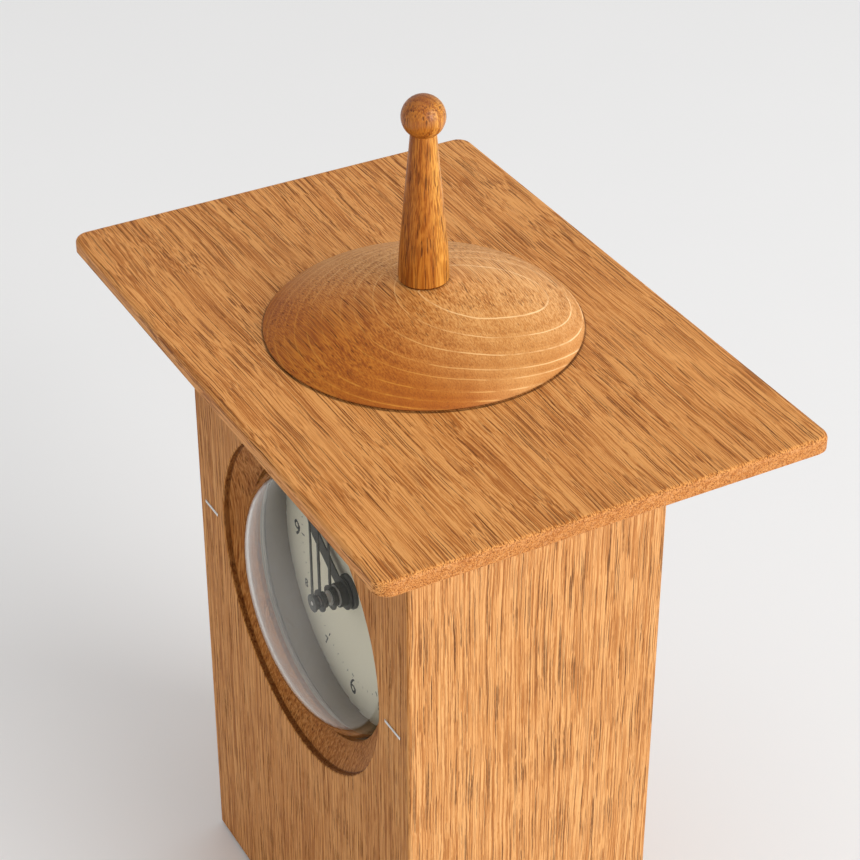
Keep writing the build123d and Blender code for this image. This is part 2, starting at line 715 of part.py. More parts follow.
# fluted setting knobs on the back
KNOB_Q0, KNOB_Q1 = 36.9, 42.0
with BuildPart() as time_knob:
    with BuildSketch(dep(KNOB_Q1)):
        with Locations((MIN_X, MIN_Z)):
            Circle(5.2)
        with Locations((MIN_X, MIN_Z)):
            with PolarLocations(5.5, 16):
                Circle(0.6, mode=Mode.SUBTRACT)
    extrude(amount=KNOB_Q1 - KNOB_Q0)
    with BuildSketch(dep(41.0)):
        with Locations((MIN_X, MIN_Z)):
            Circle(ARBOR_R)
    extrude(amount=41.0 - KNOB_Q0, mode=Mode.SUBTRACT)
time_knob.part.label = "time_knob"
export_step(time_knob.part, "parts/time_knob.step")

with BuildPart() as alarm_knob:
    with BuildSketch(dep(KNOB_Q1)):
        with Locations((ALM_X, ALM_Z)):
            Circle(4.4)
        with Locations((ALM_X, ALM_Z)):
            with PolarLocations(4.7, 14):
                Circle(0.6, mode=Mode.SUBTRACT)
    extrude(amount=KNOB_Q1 - KNOB_Q0)
    with BuildSketch(dep(41.0)):
        with Locations((ALM_X, ALM_Z)):
            Circle(ARBOR_R)
    extrude(amount=41.0 - KNOB_Q0, mode=Mode.SUBTRACT)
alarm_knob.part.label = "alarm_knob"
export_step(alarm_knob.part, "parts/alarm_knob.step")

# third wheel with pinion
half_t = 180.0 / T_TPIN
with BuildPart() as third_wheel:
    with BuildSketch(dep(28.4)):
        with BuildLine():
            Polyline(gear_pts(T_TPIN, M_TRAIN, ANG_THIRD + 180 + half_t, THI_X, THI_Z), close=True)
        make_face()
    extrude(amount=1.5)
    with BuildSketch(dep(30.2)):
        with BuildLine():
            Polyline(gear_pts(T_THIRD, M_TRAIN, ANG_ROTOR, THI_X, THI_Z), close=True)
        make_face()
    extrude(amount=1.0)
    with BuildSketch(dep(31.0)):
        with Locations((THI_X, THI_Z)):
            Circle(R_PIN)
    extrude(amount=5.0)
third_wheel.part.label = "third_wheel"
export_step(third_wheel.part, "parts/third_wheel.step")

# stepping rotor: magnet and pinion
half_r = 180.0 / T_RPIN
with BuildPart() as rotor:
    with BuildSketch(dep(30.8)):
        with BuildLine():
            Polyline(gear_pts(T_RPIN, M_TRAIN, ANG_ROTOR + 180 + half_r, ROT_X, ROT_Z), close=True)
        make_face()
    extrude(amount=1.8)
    with BuildSketch(dep(33.2)):
        with Locations((ROT_X, ROT_Z)):
            Circle(2.4)
    extrude(amount=2.4)
rotor.part.label = "rotor"
export_step(rotor.part, "parts/rotor.step")

# stator plate round the rotor with the bar that carries the coil
with BuildPart() as stator:
    with BuildSketch(dep(32.6)):
        with Locations((-16.0, 8.5)):
            Rectangle(17.0, 11.0)
        with Locations((-23.0, 18.5)):
            Rectangle(3.0, 9.0)
        with Locations((-9.0, 18.5)):
            Rectangle(3.0, 9.0)
        with Locations((-16.0, 22.0)):
            Rectangle(11.0, 2.0)
        with Locations((ROT_X, ROT_Z)):
            Circle(3.0, mode=Mode.SUBTRACT)
    extrude(amount=1.2)
stator.part.label = "stator"
export_step(stator.part, "parts/stator.step")

with BuildPart() as coil:
    with BuildSketch(dep(34.4)):
        with Locations((-16.0, 22.0)):
            RectangleRounded(10.0, 8.0, 1.0)
    extrude(amount=4.8)
    with BuildSketch(dep(32.6)):
        with Locations((-16.0, 22.0)):
            Rectangle(11.0, 2.0)
    extrude(amount=1.2, mode=Mode.SUBTRACT)
coil.part.label = "coil"
export_step(coil.part, "parts/coil.step")

# circuit board with crystal and buzzer
with BuildPart() as circuit_board:
    with BuildSketch(dep(33.6)):
        with Locations((12.5, 3.5)):
            Rectangle(20.0, 23.0)
        with Locations((MIN_X, MIN_Z)):
            Circle(2.2, mode=Mode.SUBTRACT)
    extrude(amount=1.0)
circuit_board.part.label = "circuit_board"
export_step(circuit_board.part, "parts/circuit_board.step")

with BuildPart() as crystal:
    with BuildSketch(dep(32.6)):
        with Locations((5.5, -4.0)):
            RectangleRounded(2.0, 6.0, 0.9)
    extrude(amount=2.0)
crystal.part.label = "crystal"
export_step(crystal.part, "parts/crystal.step")

with BuildPart() as buzzer:
    with BuildSketch(dep(32.6)):
        with Locations((16.5, 0.0)):
            Circle(5.5)
    extrude(amount=3.4)
    with BuildSketch(dep(29.2)):
        with Locations((16.5, 0.0)):
            Circle(0.8)
    extrude(amount=-1.0, mode=Mode.SUBTRACT)
buzzer.part.label = "buzzer"
export_step(buzzer.part, "parts/buzzer.step")

# AA cell lying across the lower part of the movement
BAT_P = Plane(origin=(-24.2, YF + BAT_Q, ZC + BAT_Z), x_dir=(0, 1, 0), z_dir=(1, 0, 0))
with BuildPart() as battery:
    with BuildSketch(BAT_P):
        Circle(BAT_R)
    extrude(amount=48.0)
    chamfer(battery.edges().filter_by(GeomType.CIRCLE), 0.4)
    with BuildSketch(BAT_P.offset(48.0)):
        Circle(2.6)
    extrude(amount=1.2)
battery.part.label = "battery"
export_step(battery.part, "parts/battery.step")

# contacts: flat plate at the cell's cap, bent leaf at its base
with BuildPart() as contact_pos:
    with BuildSketch(Plane(origin=(25.0, YF + BAT_Q, ZC + BAT_Z), x_dir=(0, 1, 0), z_dir=(1, 0, 0))):
        Rectangle(9.0, 10.0)
    extrude(amount=0.4)
contact_pos.part.label = "contact_pos"
export_step(contact_pos.part, "parts/contact_pos.step")

with BuildPart() as contact_neg:
    with BuildSketch(Plane(origin=(0, YF + BAT_Q, ZC + BAT_Z), x_dir=(1, 0, 0), z_dir=(0, -1, 0))):
        with BuildLine():
            Polyline((-26.5, -5.0), (-26.1, -5.0), (-26.1, 3.0), (-24.6, -1.0), (-24.2, -1.0), (-24.2, 0.6),
                     (-25.6, 5.0), (-26.5, 5.0), close=True)
        make_face()
    extrude(amount=3.5, both=True)
contact_neg.part.label = "contact_neg"
export_step(contact_neg.part, "parts/contact_neg.step")

# alarm on/off slider
with BuildPart() as alarm_switch:
    with BuildSketch(dep(34.5)):
        with Locations((SW_X, SW_Z)):
            Rectangle(5.4, 5.0)
    extrude(amount=0.7)
    with BuildSketch(dep(34.5)):
        with Locations((SW_X, SW_Z)):
            Rectangle(4.0, 3.0)
    extrude(amount=-3.8)
    fillet(alarm_switch.faces().sort_by(Axis.Y)[-1].edges(), 0.4)
alarm_switch.part.label = "alarm_switch"
export_step(alarm_switch.part, "parts/alarm_switch.step")

print("clock axis height", round(ZC, 3), "front", round(YF, 3), "back", round(YB, 3), "roof top", round(ROOF_TOP, 3))
print("minute arbor", round(MIN_X, 3), round(MIN_Z, 3), "alarm arbor", round(ALM_X, 3), round(ALM_Z, 3))
print("third wheel", round(THI_X, 3), round(THI_Z, 3), "rotor", round(ROT_X, 3), round(ROT_Z, 3))
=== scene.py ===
"""Looks of the wooden desk clock: oak case with a hat-like roof, glazed dial and the movement seen from behind."""
import math

import bmesh
import bpy
from mathutils import Matrix, Vector


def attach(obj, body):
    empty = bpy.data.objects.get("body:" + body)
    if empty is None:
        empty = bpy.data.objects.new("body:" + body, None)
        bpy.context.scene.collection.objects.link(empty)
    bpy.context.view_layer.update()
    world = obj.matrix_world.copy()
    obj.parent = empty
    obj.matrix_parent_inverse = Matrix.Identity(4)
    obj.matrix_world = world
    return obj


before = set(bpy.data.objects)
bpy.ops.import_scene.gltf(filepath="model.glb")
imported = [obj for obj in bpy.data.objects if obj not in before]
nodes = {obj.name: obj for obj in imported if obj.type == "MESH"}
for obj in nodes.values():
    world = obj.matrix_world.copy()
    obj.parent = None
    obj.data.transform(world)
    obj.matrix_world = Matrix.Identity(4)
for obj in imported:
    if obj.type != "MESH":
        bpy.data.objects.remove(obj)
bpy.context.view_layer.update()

MM = 0.001
ZC = 105.9                       # height of the clock axis, mm
YF = -33.05                      # front face of the case, mm
Q_DIAL = 13.1                    # depth of the dial's face behind the front, mm
FIN_X = -1.7                     # finial axis, mm


# ---------------------------------------------------------------- node helpers
class Tree:
    """A material and short calls that add nodes to it. Every call takes sockets or plain numbers."""

    def __init__(self, name):
        self.mat = bpy.data.materials.new(name)
        self.mat.use_nodes = True
        self.nt = self.mat.node_tree
        self.nt.nodes.clear()
        self.out = self.nt.nodes.new("ShaderNodeOutputMaterial")
        self.bsdf = self.nt.nodes.new("ShaderNodeBsdfPrincipled")
        self.nt.links.new(self.bsdf.outputs[0], self.out.inputs["Surface"])

    def put(self, socket, value):
        if isinstance(value, bpy.types.NodeSocket):
            self.nt.links.new(value, socket)
        elif isinstance(value, (tuple, list)):
            if socket.type == "RGBA" and len(value) == 3:
                value = (*value, 1.0)
            socket.default_value = value
        else:
            socket.default_value = value

    def set(self, name, value):
        self.put(self.bsdf.inputs[name], value)

    def math(self, op, a, b=None, c=None, clamp=False):
        n = self.nt.nodes.new("ShaderNodeMath")
        n.operation = op
        n.use_clamp = clamp
        for i, x in enumerate((a, b, c)):
            if x is not None:
                self.put(n.inputs[i], x)
        return n.outputs[0]

    def add(self, a, b):
        return self.math("ADD", a, b)

    def sub(self, a, b):
        return self.math("SUBTRACT", a, b)

    def mul(self, a, b):
        return self.math("MULTIPLY", a, b)

    def mad(self, a, b, c):
        return self.math("MULTIPLY_ADD", a, b, c)

    def vmath(self, op, a, b=None):
        n = self.nt.nodes.new("ShaderNodeVectorMath")
        n.operation = op
        self.put(n.inputs[0], a)
        if b is not None:
            if op == "SCALE":
                self.put(n.inputs["Scale"], b)
            else:
                self.put(n.inputs[1], b)
        return n.outputs["Value"] if op in ("DOT_PRODUCT", "LENGTH", "DISTANCE") else n.outputs[0]

    def sep(self, v):
        n = self.nt.nodes.new("ShaderNodeSeparateXYZ")
        self.put(n.inputs[0], v)
        return n.outputs[0], n.outputs[1], n.outputs[2]

    def comb(self, x, y, z):
        n = self.nt.nodes.new("ShaderNodeCombineXYZ")
        for i, s in enumerate((x, y, z)):
            self.put(n.inputs[i], s)
        return n.outputs[0]

    def noise(self, vec, scale=1.0, detail=2.0, rough=0.5, dist=0.0, colour=False):
        n = self.nt.nodes.new("ShaderNodeTexNoise")
        self.put(n.inputs["Vector"], vec)
        n.inputs["Scale"].default_value = scale
        n.inputs["Detail"].default_value = detail
        n.inputs["Roughness"].default_value = rough
        n.inputs["Distortion"].default_value = dist
        return n.outputs["Color"] if colour else n.outputs[0]

    def noise1(self, w, scale=1.0, detail=1.0):
        n = self.nt.nodes.new("ShaderNodeTexNoise")
        n.noise_dimensions = "1D"
        self.put(n.inputs["W"], w)
        n.inputs["Scale"].default_value = scale
        n.inputs["Detail"].default_value = detail
        return n.outputs[0]

    def voro(self, vec, rand=1.0, feature="F1"):
        n = self.nt.nodes.new("ShaderNodeTexVoronoi")
        n.feature = feature
        self.put(n.inputs["Vector"], vec)
        n.inputs["Scale"].default_value = 1.0
        n.inputs["Randomness"].default_value = rand
        return n.outputs["Distance"], n.outputs["Color"]

    def white1(self, w):
        n = self.nt.nodes.new("ShaderNodeTexWhiteNoise")
        n.noise_dimensions = "1D"
        self.put(n.inputs["W"], w)
        return n.outputs["Value"]

    def step(self, x, a, b, lo=0.0, hi=1.0):
        """Smooth step from lo at x = a to hi at x = b."""
        n = self.nt.nodes.new("ShaderNodeMapRange")
        n.interpolation_type = "SMOOTHSTEP"
        n.clamp = True
        self.put(n.inputs["Value"], x)
        for key, v in (("From Min", a), ("From Max", b), ("To Min", lo), ("To Max", hi)):
            self.put(n.inputs[key], v)
        return n.outputs[0]

    def lin(self, x, a, b, lo=0.0, hi=1.0):
        n = self.nt.nodes.new("ShaderNodeMapRange")
        n.clamp = True
        self.put(n.inputs["Value"], x)
        for key, v in (("From Min", a), ("From Max", b), ("To Min", lo), ("To Max", hi)):
            self.put(n.inputs[key], v)
        return n.outputs[0]

    def mix(self, fac, a, b, blend="MIX"):
        n = self.nt.nodes.new("ShaderNodeMix")
        n.data_type = "RGBA"
        n.blend_type = blend
        n.clamp_factor = True
        self.put(n.inputs[0], fac)
        self.put(n.inputs[6], a)
        self.put(n.inputs[7], b)
        return n.outputs[2]

    def ramp(self, fac, stops):
        n = self.nt.nodes.new("ShaderNodeValToRGB")
        cr = n.color_ramp
        while len(cr.elements) < len(stops):
            cr.elements.new(0.5)
        for e, (p, c) in zip(cr.elements, stops):
            e.position = p
            e.color = (*c, 1.0)
        self.put(n.inputs[0], fac)
        return n.outputs[0]

    def coords(self):
        n = self.nt.nodes.new("ShaderNodeTexCoord")
        return self.vmath("SCALE", n.outputs["Object"], 1000.0)

    def normal(self):
        return self.nt.nodes.new("ShaderNodeTexCoord").outputs["Normal"]

    def bump(self, height, distance, strength=1.0):
        n = self.nt.nodes.new("ShaderNodeBump")
        n.inputs["Strength"].default_value = strength
        n.inputs["Distance"].default_value = distance
        self.put(n.inputs["Height"], height)
        self.nt.links.new(n.outputs[0], self.bsdf.inputs["Normal"])


def lin3(r, g, b):
    """Linear colour of an 8-bit display colour."""
    return tuple(((c / 255.0) / 12.92) if c <= 10 else ((c / 255.0 + 0.055) / 1.055) ** 2.4 for c in (r, g, b))


# ---------------------------------------------------------------- oak
OAK_PALE = (0.690, 0.345, 0.120)
OAK_MID = (0.530, 0.222, 0.058)
OAK_DEEP = (0.365, 0.128, 0.025)
OAK_DARK = (0.245, 0.078, 0.014)
OAK_PORE = (0.125, 0.038, 0.007)


def oak(name, axes, seed, pith, ring=2.6, tilt=(0.0, 0.0), pore=0.95, pore_gap=0.38, pore_len=10.0, fibre=2.2, fibre_f=3.9,
        fibre_len=22.0, band=0.45, rings=0.3, wave=2.4, wob=0.9, uneven=1.3, streak=0.6, streak_f=3.1, streak_lo=0.54, jit=0.07, mottle=0.0,
        line=0.0, line_mm=0.14, tint=None, rough=0.50, fleck=0.0, grain_len=1.0, end=(0.55, 0.98, 0.38), spec=0.26, relief=0.00010, painted_light_by_facing=None, recess=False,
        base=0.38, calm=0.0, blots=1.0, painted_foot_shade=None, joint=None,
        ink=1.0, fine_k=0.55, pore_p=(0.40, 0.38), pore_w=(0.25, 0.20), bead_lo=0.55):
    """Oiled oak as a solid: growth rings about a pith line, pores gathered in the early wood, fibres, rays and end grain.
    axes gives the object axes of the grain, and of the two directions across it; lengths are in millimetres."""
    t = Tree(name)
    p = t.coords()
    xyz = t.sep(p)
    nrm = t.normal()
    nxyz = t.sep(nrm)
    u, v, w = (xyz[i] for i in axes)
    su, sv, sw = t.add(u, seed * 31.0), t.add(v, seed * 17.3), t.add(w, seed * 9.1)
    n1 = t.noise(t.comb(t.mul(su, 0.011 / grain_len), t.mul(sv, 0.035), t.mul(sw, 0.035)), detail=1.0, colour=True)
    n2 = t.noise(t.comb(t.mul(su, 0.075 / grain_len), t.mul(sv, 0.16), t.mul(sw, 0.16)), detail=2.0, colour=True)
    a1, b1, _ = t.sep(n1)
    a2, b2, _ = t.sep(n2)
    n3 = t.noise(t.comb(t.mul(su, 0.55), t.mul(sv, 1.1), t.mul(sw, 1.1)), detail=1.0, colour=True)
    a3, b3, _ = t.sep(n3)
    dv = t.add(t.mul(t.sub(a1, 0.5), wave * 2.0), t.mul(t.sub(a2, 0.5), wob))
    dw = t.add(t.mul(t.sub(b1, 0.5), wave * 2.0), t.mul(t.sub(b2, 0.5), wob))
    v1, w1 = t.add(v, dv), t.add(w, dw)
    v2 = t.add(v1, t.mad(t.sub(a3, 0.5), jit * 2.0, seed * 13.1))
    w2 = t.add(w1, t.mad(t.sub(b3, 0.5), jit * 2.0, seed * 5.3))

    # growth rings
    rv, rw = t.sub(v1, pith[0]), t.sub(w1, pith[1])
    rad = t.math("SQRT", t.add(t.mul(rv, rv), t.mul(rw, rw)))
    rho = t.add(rad, t.add(t.mul(u, tilt[0]), t.mul(v, tilt[1])))
    ph = t.mul(rho, 1.0 / ring)
    ph = t.add(ph, t.mul(t.sub(t.noise1(t.add(ph, seed * 3.7), 0.55), 0.5), uneven))
    f = t.math("FRACT", ph)
    idx = t.math("FLOOR", ph)
    tone = t.white1(t.add(idx, seed * 1.9))
    early = t.mul(t.step(f, 0.02, 0.12), t.step(f, 0.22, 0.66, 1.0, 0.0))

    # pores: long thin cells, most of them in the early wood
    pd, pc = t.voro(t.comb(t.mul(su, 1.0 / pore_len), t.mul(v2, 1.0 / pore_gap), t.mul(w2, 1.0 / pore_gap)))
    r1, r2, r3 = t.sep(pc)
    chance = t.add(pore_p[0], t.mul(early, pore_p[1]))
    wide = t.add(pore_w[0], t.mul(r2, pore_w[1]))
    pores = t.mul(t.step(pd, t.sub(wide, 0.07), t.add(wide, 0.05), 1.0, 0.0), t.step(t.sub(chance, r1), -0.06, 0.06))
    bead = t.noise(t.comb(t.mul(su, 0.85), t.mul(v2, 2.0), t.mul(w2, 2.0)), detail=1.0)
    endg = t.step(t.math("ABSOLUTE", nxyz[axes[0]]), end[0], end[1])
    pores = t.mul(pores, t.mul(t.add(0.62, t.mul(r3, 0.38)), t.lin(bead, 0.36, 0.56, bead_lo, 1.0)))
    if calm:
        pores = t.mul(pores, t.sub(1.0, t.mul(endg, calm)))
    # streaks: runs of vessels that read as one long dark line
    stn = t.noise(t.comb(t.mul(su, 0.035 / grain_len), t.mul(v2, streak_f), t.mul(w2, streak_f)), detail=2.0, rough=0.60)
    stk = t.mul(t.step(stn, streak_lo, streak_lo + 0.08), t.mul(t.add(0.55, t.mul(early, 0.45)), t.lin(bead, 0.30, 0.55, 0.55, 1.0)))
    # finer vessels of the late wood
    qd, qc = t.voro(t.comb(t.mul(su, 1.0 / (pore_len * 0.5)), t.mul(v2, 1.0 / (pore_gap * 0.70)),
                           t.mul(t.add(w2, 21.0), 1.0 / (pore_gap * 0.70))))
    q1, q2, _ = t.sep(qc)
    fine = t.mul(t.step(qd, 0.20, 0.46, 1.0, 0.0), t.step(q1, 0.40, 0.60, 1.0, 0.0))

    # fibres and broad bands of colour
    fib = t.noise(t.comb(t.mul(su, 1.0 / fibre_len), t.mul(v2, fibre_f), t.mul(w2, fibre_f)), detail=2.0, rough=0.60)
    bnd = t.noise(t.comb(t.mul(su, 0.009 / grain_len), t.mul(v2, 0.19), t.mul(w2, 0.19)), detail=3.0, rough=0.60)
    cloud = t.noise(t.comb(t.mul(su, 0.03), t.mul(sv, 0.05), t.mul(sw, 0.05)), detail=2.0)
    fdev = t.mul(t.sub(fib, 0.5), 2.2 * fibre)
    if calm:
        fdev = t.mul(fdev, t.sub(1.0, t.mul(endg, calm)))
        fine = t.mul(fine, t.sub(1.0, t.mul(endg, calm)))
    d = t.add(base, fdev)
    d = t.add(d, t.mul(t.sub(bnd, 0.5), 2.0 * band))
    d = t.add(d, t.mul(t.sub(early, 0.35), 0.70 * rings))
    d = t.add(d, t.mul(t.sub(tone, 0.5), 0.45 * rings))
    d = t.add(d, t.mul(t.sub(cloud, 0.5), 0.4))
    if mottle:
        mot = t.noise(t.comb(t.mul(su, 0.30), t.mul(sv, 0.55), t.mul(sw, 0.55)), detail=2.0)
        d = t.add(d, t.mul(t.sub(mot, 0.5), mottle))
    col = t.ramp(d, [(0.0, OAK_PALE), (0.5, OAK_MID), (1.0, OAK_DEEP)])

    # rays: thin plates that run out from the pith, pale flecks where the surface lies along them
    if fleck:
        theta = t.math("ARCTAN2", rw, rv)
        kd, kc = t.voro(t.comb(t.mul(su, 1.0 / 1.7), t.mul(theta, 150.0 / 0.40), t.mul(rho, 1.0 / 2.0)))
        k1, _, _ = t.sep(kc)
        rays = t.mul(t.step(kd, 0.20, 0.42, 1.0, 0.0), t.step(k1, 0.30, 0.42, 1.0, 0.0))
        col = t.mix(t.mul(rays, fleck), col, OAK_PALE)

    col = t.mix(t.mul(stk, streak), col, OAK_DARK)
    col = t.mix(t.mul(fine, fine_k * pore), col, tuple(c * (0.4 + 0.6 * ink) for c in OAK_DARK))
    col = t.mix(t.mul(pores, pore), col, tuple(c * ink for c in OAK_PORE))

    # end grain takes more oil, and shows the open vessels as a mottle
    blot = t.noise(t.comb(t.mul(su, 0.3), t.mul(t.add(sv, sw), 0.75), t.mul(t.sub(sv, sw), 1.5)), detail=2.0, rough=0.6)
    col = t.mix(t.mul(endg, end[2]), col, (0.30, 0.098, 0.020))
    col = t.mix(t.mul(t.mul(endg, t.step(blot, 0.48, 0.36)), end[2] * 0.9 * blots), col, (0.66, 0.36, 0.17))

    # pale thin lines at the ring limits of a flat-sawn piece, equally wide where the surface cuts them at a low angle
    if line:
        gv, gw = t.add(t.math("DIVIDE", rv, rad), tilt[1]), t.math("DIVIDE", rw, rad)
        dot = t.add(t.mul(nxyz[axes[0]], tilt[0]), t.add(t.mul(nxyz[axes[1]], gv), t.mul(nxyz[axes[2]], gw)))
        g2 = t.add(tilt[0] * tilt[0], t.add(t.mul(gv, gv), t.mul(gw, gw)))
        slope = t.math("SQRT", t.math("MAXIMUM", t.sub(g2, t.mul(dot, dot)), 0.0004))
        half = t.mul(slope, line_mm / ring)
        off = t.math("ABSOLUTE", t.sub(f, 0.85))
        br = t.noise(t.comb(t.mul(su, 0.16), t.mul(sv, 0.16), t.mul(sw, 0.3)), detail=3.0)
        ln = t.step(off, t.mul(half, 0.55), t.mul(half, 1.35), 1.0, 0.0)
        ln = t.mul(ln, t.step(br, 0.36, 0.56, 0.15, 1.0))
        ln = t.mul(ln, t.add(0.55, t.mul(tone, 0.45)))
        side = t.step(t.add(t.mul(u, 0.55), t.mul(v, 0.30)), -24.0, 14.0, 0.42, 1.0)
        col = t.mix(t.mul(t.mul(ln, side), line), col, (0.860, 0.545, 0.270))
    for f0, f1, shade, fx, fy in painted_light_by_facing or ():
        # painted light and shade: each entry tints the colour by the direction the surface faces, darker where it turns
        # away from the lamp and paler where it would catch a sheen
        k = t.step(t.add(t.mul(nxyz[0], fx), t.mul(nxyz[1], fy)), f0, f1)
        col = t.mix(k, col, t.mix(1.0, col, shade, "MULTIPLY"))
    if recess:
        # turned recess: darker at its wall, and less so on its floor
        zz = t.sub(xyz[2], ZC)
        rr = t.math("SQRT", t.add(t.mul(xyz[0], xyz[0]), t.mul(zz, zz)))
        depth = t.sub(xyz[1], YF)
        wall = t.mul(t.mul(t.step(rr, 38.30, 38.42), t.step(rr, 39.3, 38.9)), t.step(depth, 0.10, 0.30))
        inner = t.mul(t.step(rr, 38.62, 38.45), t.step(depth, 0.4, 1.0))
        col = t.mix(t.mul(inner, 0.85), col, t.mix(1.0, col, (0.72, 0.60, 0.45), "MULTIPLY"))
        col = t.mix(t.mul(wall, 0.90), col, t.mix(1.0, col, (0.42, 0.33, 0.24), "MULTIPLY"))
    if tint:
        col = t.mix(1.0, col, tint, "MULTIPLY")
    if joint:
        # painted shadow: a dark line on the roof's top round the base of the glued-on dome
        jx, jy = t.sub(xyz[0], joint[0]), t.sub(xyz[1], joint[1])
        jr = t.math("SQRT", t.add(t.mul(jx, jx), t.mul(jy, jy)))
        jn = t.noise(t.comb(t.mul(jx, 0.12), t.mul(jy, 0.12), 0.0), detail=2.0)
        jk = t.mul(t.step(t.math("ABSOLUTE", t.sub(jr, joint[2])), 0.40, 0.12), t.step(nxyz[2], 0.5, 0.8))
        col = t.mix(t.mul(jk, t.lin(jn, 0.35, 0.65, 0.45, 0.85)), col, (0.100, 0.036, 0.009))
    if painted_foot_shade:
        # painted contact shade: the lowest band of the piece, where it sits on the part below, is darkened
        col = t.mix(t.step(xyz[2], painted_foot_shade[0] + painted_foot_shade[1], painted_foot_shade[0] + 0.1), col, t.mix(1.0, col, (0.30, 0.20, 0.12), "MULTIPLY"))

    t.set("Base Color", col)
    t.set("Roughness", t.add(rough, t.add(t.mul(pores, 0.22), t.mul(t.sub(fib, 0.5), 0.16))))
    t.set("Specular IOR Level", spec)
    height = t.sub(t.mul(fib, 0.30), t.add(t.mul(pores, 1.0), t.mul(stk, 0.4)))
    t.bump(height, relief, 0.7)
    return t.mat


# ---------------------------------------------------------------- other finishes
def metal(name, colour, rough, stretch=(1.0, 1.0, 1.0), amount=0.10, bump=0.00001, spots=0.06, metallic=1.0):
    """Brushed or rolled metal: fine lines along the short axis of stretch and a faint uneven tarnish."""
    t = Tree(name)
    x, y, z = t.sep(t.coords())
    lines = t.noise(t.comb(t.mul(x, stretch[0]), t.mul(y, stretch[1]), t.mul(z, stretch[2])), scale=2.2, detail=4.0, rough=0.65)
    tarn = t.noise(t.comb(x, y, z), scale=0.22, detail=3.0)
    dark = tuple(c * (1.0 - spots * 3.0) for c in colour)
    t.set("Base Color", t.mix(t.step(tarn, 0.35, 0.75), colour, dark))
    t.set("Metallic", metallic)
    t.set("Roughness", t.add(rough - amount * 0.5, t.mul(lines, amount)))
    t.bump(lines, bump, 0.6)
    return t.mat


def plastic(name, colour, rough, grain=2.6, depth=0.00003, vary=0.10, spec=0.4):
    """Moulded plastic or paint with a fine spark-eroded grain."""
    t = Tree(name)
    p = t.coords()
    g = t.noise(p, scale=grain, detail=4.0, rough=0.7)
    c = t.noise(p, scale=0.13, detail=2.0)
    lo, hi = tuple(k * (1.0 - vary) for k in colour), tuple(min(1.0, k * (1.0 + vary)) for k in colour)
    t.set("Base Color", t.mix(t.add(t.mul(c, 0.6), t.mul(g, 0.4)), lo, hi))
    t.set("Roughness", t.add(rough - 0.06, t.mul(g, 0.12)))
    t.set("Specular IOR Level", spec)
    t.bump(g, depth, 0.5)
    return t.mat


def felt(name, colour):
    t = Tree(name)
    p = t.coords()
    a = t.noise(p, scale=3.0, detail=5.0, rough=0.75, dist=1.5)
    b = t.noise(p, scale=0.5, detail=2.0)
    t.set("Base Color", t.mix(t.add(t.mul(a, 0.7), t.mul(b, 0.3)), tuple(c * 0.6 for c in colour), tuple(c * 1.4 for c in colour)))
    t.set("Roughness", t.add(0.86, t.mul(a, 0.12)))
    t.set("Sheen Weight", 0.4)
    t.set("Sheen Roughness", 0.5)
    t.bump(a, 0.00012, 0.8)
    return t.mat


def glass(name):
    t = Tree(name)
    p = t.coords()
    smear = t.noise(p, scale=0.09, detail=3.0)
    t.set("Base Color", t.mix(smear, (0.965, 0.955, 0.915), (0.985, 0.980, 0.950)))
    t.set("Transmission Weight", 1.0)
    t.set("IOR", 1.27)
    t.set("Specular IOR Level", 0.42)
    t.set("Roughness", t.lin(smear, 0.3, 0.8, 0.01, 0.04))
    return t.mat


def dial_paint(name):
    """Matt grey-green paint with a slight mottling and a faint painted shade towards its rim."""
    t = Tree(name)
    p = t.coords()
    x, y, z = t.sep(p)
    g = t.noise(p, scale=1.4, detail=5.0, rough=0.6)
    c = t.noise(p, scale=0.06, detail=2.0)
    zz = t.sub(z, ZC)
    r = t.math("SQRT", t.add(t.mul(x, x), t.mul(zz, zz)))
    col = t.mix(t.add(t.mul(c, 0.6), t.mul(g, 0.4)), (0.88, 0.85, 0.70), (0.95, 0.92, 0.79))
    # painted shade: the dial darkens towards its rim, beside the ring wall
    col = t.mix(t.step(r, 29.5, 33.0, 0.0, 0.35), col, (0.60, 0.58, 0.46))
    t.set("Base Color", col)
    t.set("Roughness", t.add(0.50, t.mul(g, 0.12)))
    t.set("Specular IOR Level", 0.3)
    t.bump(g, 0.00001, 0.5)
    return t.mat


def ring_paint(name, front, rear, q0, q1, rough, metallic=0.0):
    """Satin ring, paler at its front edge and darker towards its rear, deeper in the window: painted shade."""
    t = Tree(name)
    p = t.coords()
    x, y, z = t.sep(p)
    q = t.sub(y, YF)
    g = t.noise(p, scale=1.8, detail=4.0, rough=0.65)
    c = t.noise(t.comb(x, t.mul(y, 3.0), z), scale=0.10, detail=2.0)
    # painted shade: the colour goes from the front colour to the darker rear colour with depth
    k = t.add(t.step(q, q0, q1), t.mul(t.sub(c, 0.5), 0.25))
    col = t.mix(k, front, rear)
    t.set("Base Color", t.mix(t.mul(g, 0.16), col, tuple(v * 0.6 for v in rear)))
    t.set("Roughness", t.add(rough, t.mul(g, 0.10)))
    t.set("Metallic", metallic)
    t.set("Specular IOR Level", 0.35)
    t.bump(g, 0.00001, 0.5)
    return t.mat


def cell_wrap(name):
    """Dry cell: printed sleeve in two plain colours, bare metal ends."""
    t = Tree(name)
    p = t.coords()
    x, y, z = t.sep(p)
    g = t.noise(p, scale=1.6, detail=3.0)
    sleeve = t.mix(t.step(x, 16.4, 16.7), (0.090, 0.115, 0.125), (0.46, 0.47, 0.46))
    sleeve = t.mix(t.mul(g, 0.25), sleeve, (0.13, 0.14, 0.14))
    ends = t.math("MAXIMUM", t.step(x, 22.6, 22.8), t.step(x, -23.6, -23.8))
    t.set("Base Color", t.mix(ends, sleeve, (0.62, 0.61, 0.59)))
    t.set("Metallic", t.add(0.25, t.mul(ends, 0.75)))
    t.set("Roughness", t.add(0.26, t.mul(g, 0.12)))
    t.bump(g, 0.00001, 0.4)
    return t.mat


